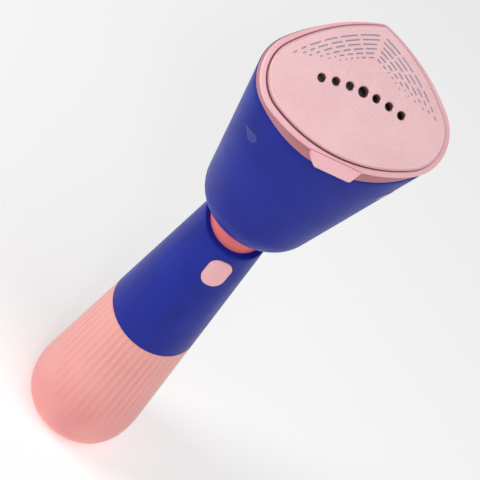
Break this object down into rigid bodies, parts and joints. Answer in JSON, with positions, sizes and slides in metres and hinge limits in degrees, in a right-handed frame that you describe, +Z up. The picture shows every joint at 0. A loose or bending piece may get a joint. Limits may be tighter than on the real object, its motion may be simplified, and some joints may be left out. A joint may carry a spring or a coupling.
{
  "type": "garment steamer",
  "caption": "Hand-held garment steamer: tilted drop-shaped soleplate on a round head, tapered handle with a steam button, and a pull-off water tank as its foot.",
  "frame": {"origin": "centre of the flat foot under the water tank, on the handle axis", "axes": "+Z up the handle axis towards the head, -Y to the front, the side of the steam button"},
  "size_m": [0.0918, 0.0622, 0.2821],
  "materials": {
    "tank": "translucent frosted",
    "tank_lid": "satin",
    "rubber": "matte",
    "soft_pink": "matte",
    "white_plastic": "satin",
    "steel": "satin",
    "silicone": "satin",
    "brass": "satin",
    "blue_shell": "soft satin",
    "pink_button": "satin",
    "circuit_board": "satin",
    "black_plastic": "satin",
    "inner_plastic": "satin",
    "copper": "enamelled wire",
    "coral_collar": "satin",
    "blue_lens": "satin",
    "soleplate": "satin anodised",
    "pink_rim": "satin",
    "dusty_band": "satin",
    "cast_aluminium": "as cast"
  },
  "bodies": {
    "body": {"handle_shell": "blue_shell", "control_board": "circuit_board", "micro_switch": "black_plastic", "relay": "black_plastic", "tank_dock": "inner_plastic", "valve_pin": "inner_plastic", "chassis_spine": "inner_plastic", "board_stand_offs": "inner_plastic", "pump_body": "white_plastic", "pump_coil": "copper", "pump_yoke": "steel", "pump_spring": "steel", "cord_gland": "rubber", "neck_collar": "coral_collar", "neck_nut": "white_plastic", "head_shell": "blue_shell", "left_indicator_lens": "blue_lens", "right_indicator_lens": "blue_lens", "soleplate": "soleplate", "rim_lip": "pink_rim", "rim_band": "dusty_band", "front_tab": "pink_rim", "chamber_gasket": "silicone", "steam_chamber": "cast_aluminium", "heating_element": "steel", "element_terminals": "brass", "thermostat": "steel", "thermal_fuse": "white_plastic", "chamber_nipple": "brass", "heat_shield": "steel", "shield_spacers": "white_plastic", "shield_screws": "steel", "inlet_hose": "silicone", "outlet_hose": "silicone"},
    "tank": {"tank_shell": "tank", "tank_lid": "tank_lid", "tank_seal": "rubber", "pickup_tube": "silicone", "pickup_filter": "brass", "valve_spring": "steel"},
    "valve": {"valve_poppet": "white_plastic"},
    "plug": {"filler_plug": "soft_pink"},
    "button": {"steam_button": "pink_button", "switch_plunger": "white_plastic"},
    "plunger": {"pump_plunger": "steel"}
  },
  "joints": [
    {"name": "tank_slide", "type": "slide", "parent": "body", "child": "tank", "axis": [0, 0, -1], "range_m": [0, 0.032]},
    {"name": "valve_lift", "type": "slide", "parent": "tank", "child": "valve", "axis": [0, 0, 1], "range_m": [0, 0.002], "deforming": ["valve_spring"]},
    {"name": "plug_pull", "type": "slide", "parent": "tank", "child": "plug", "axis": [0, 0, 1], "range_m": [0, 0.008]},
    {"name": "button_press", "type": "slide", "parent": "body", "child": "button", "axis": [0, 1, 0], "range_m": [0, 0.001], "stiffness_N_per_m": 1500, "springref_m": -0.0005},
    {"name": "pump_stroke", "type": "slide", "parent": "body", "child": "plunger", "axis": [0, 0, 1], "range_m": [0, 0.002], "stiffness_N_per_m": 800, "deforming": ["pump_spring"]}
  ],
  "couplings": [
    {"joint": "valve_lift", "follows": "tank_slide", "ratio": 0.0625}
  ]
}
